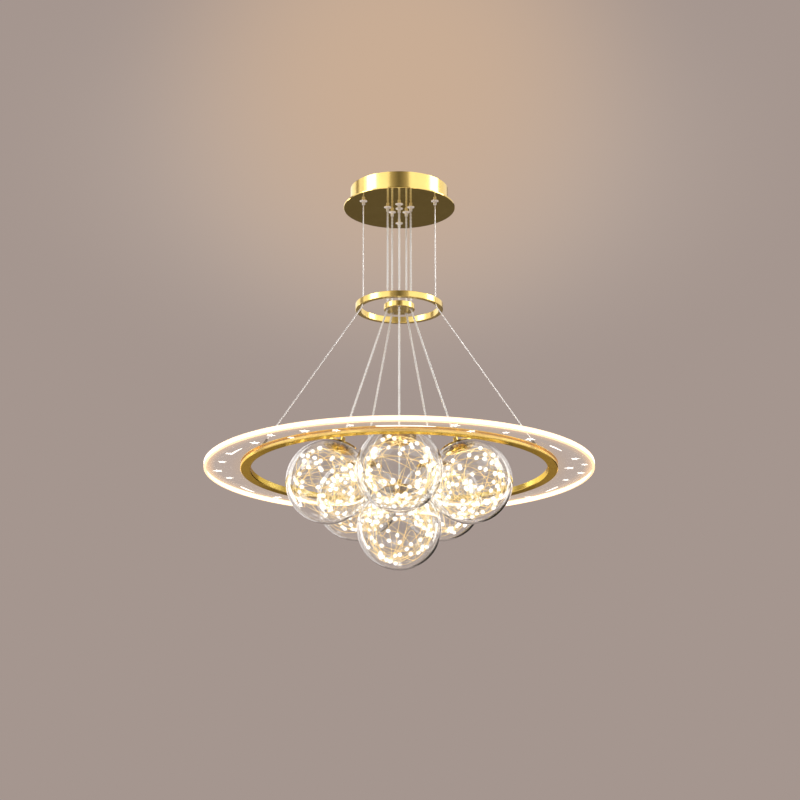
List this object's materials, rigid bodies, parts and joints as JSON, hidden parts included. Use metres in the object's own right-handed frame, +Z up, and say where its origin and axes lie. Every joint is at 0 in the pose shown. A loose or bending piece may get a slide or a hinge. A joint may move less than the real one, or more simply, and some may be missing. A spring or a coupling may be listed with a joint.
{
  "type": "orb chandelier",
  "caption": "Ceiling chandelier: a round canopy on cables carries a lit acrylic ring with engraved stars round a cluster of clear glass globes with light strings inside.",
  "frame": {"origin": "on the ceiling plane, at the middle of the ceiling bracket's top face", "axes": "+Z up, towards the ceiling; -Y is the near side, with one globe towards it; +X to the right seen from there"},
  "size_m": [0.5999, 0.6, 0.6185],
  "materials": {
    "gold_metal": "mirror-polished gold plating",
    "zinc_steel": "zinc plated",
    "chrome_fittings": "polished",
    "steel_fasteners": "plain",
    "driver_plastic": "fine texture",
    "terminal_plastic": "moulded nylon",
    "steel_cable": "bare wire rope",
    "dark_steel": "blackened",
    "clear_bush": "translucent silicone",
    "bare_aluminium": "mill finish",
    "light_strip": "lit, warm white",
    "clear_acrylic": "clear, lit at its rim",
    "clear_glass": "clear, polished",
    "copper_wire": "thin bare copper with lit beads",
    "clear_cord": "clear twin cord, twisted"
  },
  "bodies": {
    "root": {"acrylic_panel": "clear_acrylic", "anchor_nuts": "steel_fasteners", "anchor_posts": "gold_metal", "cable_ferrules": "dark_steel", "cable_grip_bodies": "chrome_fittings", "canopy_drum": "gold_metal", "canopy_face_plate": "gold_metal", "canopy_side_screws": "steel_fasteners", "ceiling_bracket": "zinc_steel", "centre_feed_cord": "clear_cord", "cord_gland_bodies": "chrome_fittings", "driver_case": "driver_plastic", "glass_globe_centre": "clear_glass", "globe_cap_centre": "gold_metal", "grip_lock_nuts": "steel_fasteners", "hub_bushes": "clear_bush", "hub_disc": "gold_metal", "light_string_centre": "copper_wire", "light_strip": "light_strip", "plate_studs": "zinc_steel", "ring_joiner": "bare_aluminium", "ring_joiner_screws": "steel_fasteners", "ring_profile": "gold_metal", "spreader_grub_screws": "steel_fasteners", "spreader_ring": "gold_metal", "stud_nuts": "steel_fasteners", "suspension_cable_back": "steel_cable", "suspension_cable_left": "steel_cable", "suspension_cable_right": "steel_cable", "terminal_block": "terminal_plastic", "upper_feed_cord_back_left": "clear_cord", "upper_feed_cord_back_right": "clear_cord", "upper_feed_cord_front": "clear_cord", "upper_feed_cord_left": "clear_cord", "upper_feed_cord_right": "clear_cord"},
    "globe_front": {"glass_globe_front": "clear_glass", "globe_cap_front": "gold_metal", "light_string_front": "copper_wire", "lower_feed_cord_front": "clear_cord"},
    "globe_right": {"glass_globe_right": "clear_glass", "globe_cap_right": "gold_metal", "light_string_right": "copper_wire", "lower_feed_cord_right": "clear_cord"},
    "globe_back_right": {"glass_globe_back_right": "clear_glass", "globe_cap_back_right": "gold_metal", "light_string_back_right": "copper_wire", "lower_feed_cord_back_right": "clear_cord"},
    "globe_back_left": {"glass_globe_back_left": "clear_glass", "globe_cap_back_left": "gold_metal", "light_string_back_left": "copper_wire", "lower_feed_cord_back_left": "clear_cord"},
    "globe_left": {"glass_globe_left": "clear_glass", "globe_cap_left": "gold_metal", "light_string_left": "copper_wire", "lower_feed_cord_left": "clear_cord"},
    "release_left": {"grip_release_left": "chrome_fittings"},
    "release_right": {"grip_release_right": "chrome_fittings"},
    "release_back": {"grip_release_back": "chrome_fittings"}
  },
  "joints": [
    {"name": "globe_swing_front", "type": "hinge", "parent": "root", "child": "globe_front", "pos_m": [0, -0.0193, -0.2033], "axis": [-1, 0, 0], "range_deg": [0, 9]},
    {"name": "globe_swing_right", "type": "hinge", "parent": "root", "child": "globe_right", "pos_m": [0.01835, -0.00596, -0.2033], "axis": [-0.309, -0.9511, 0], "range_deg": [0, 9]},
    {"name": "globe_swing_back_right", "type": "hinge", "parent": "root", "child": "globe_back_right", "pos_m": [0.01134, 0.01561, -0.2033], "axis": [0.809, -0.5878, 0], "range_deg": [0, 9]},
    {"name": "globe_swing_back_left", "type": "hinge", "parent": "root", "child": "globe_back_left", "pos_m": [-0.01134, 0.01561, -0.2033], "axis": [0.809, 0.5878, 0], "range_deg": [0, 9]},
    {"name": "globe_swing_left", "type": "hinge", "parent": "root", "child": "globe_left", "pos_m": [-0.01835, -0.00596, -0.2033], "axis": [-0.309, 0.9511, 0], "range_deg": [0, 9]},
    {"name": "grip_release_left", "type": "slide", "parent": "root", "child": "release_left", "axis": [0, 0, 1], "range_m": [0, 0.0015], "stiffness_N_per_m": 400, "springref_m": -0.001},
    {"name": "grip_release_right", "type": "slide", "parent": "root", "child": "release_right", "axis": [0, 0, 1], "range_m": [0, 0.0015], "stiffness_N_per_m": 400, "springref_m": -0.001},
    {"name": "grip_release_back", "type": "slide", "parent": "root", "child": "release_back", "axis": [0, 0, 1], "range_m": [0, 0.0015], "stiffness_N_per_m": 400, "springref_m": -0.001}
  ]
}
